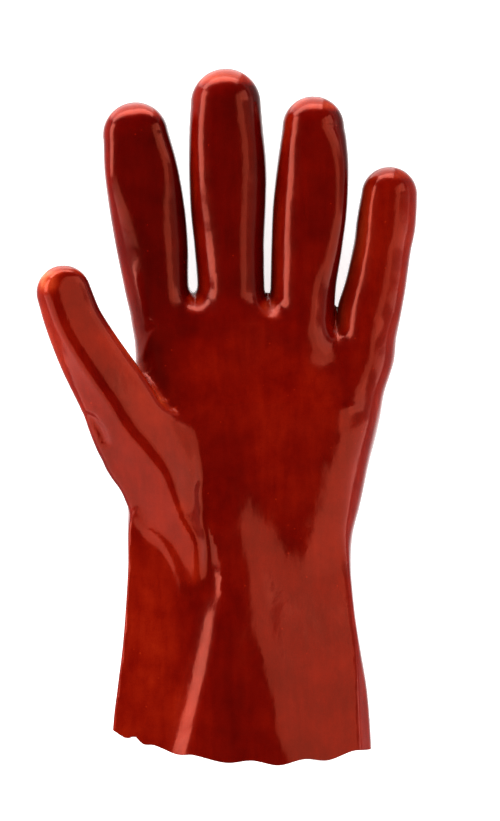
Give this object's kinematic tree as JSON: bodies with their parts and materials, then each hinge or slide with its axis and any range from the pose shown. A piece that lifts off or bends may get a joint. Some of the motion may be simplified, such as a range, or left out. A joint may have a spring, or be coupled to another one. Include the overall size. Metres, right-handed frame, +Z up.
{
  "type": "chemical-resistant glove",
  "caption": "Left-hand dipped vinyl work glove with a long flared cuff, an angled thumb and a wavy trimmed hem, lying palm up.",
  "frame": {"origin": "middle of the overall box, on the surface that the back of the glove lies on", "axes": "+X across the palm towards the little finger, +Y along the fingers away from the cuff, +Z up out of the palm"},
  "size_m": [0.1492, 0.2696, 0.0654],
  "materials": {
    "red_vinyl": "glossy dark red dipped vinyl over knitted cotton"
  },
  "bodies": {
    "root": {"glove_shell": "red_vinyl"}
  },
  "joints": []
}
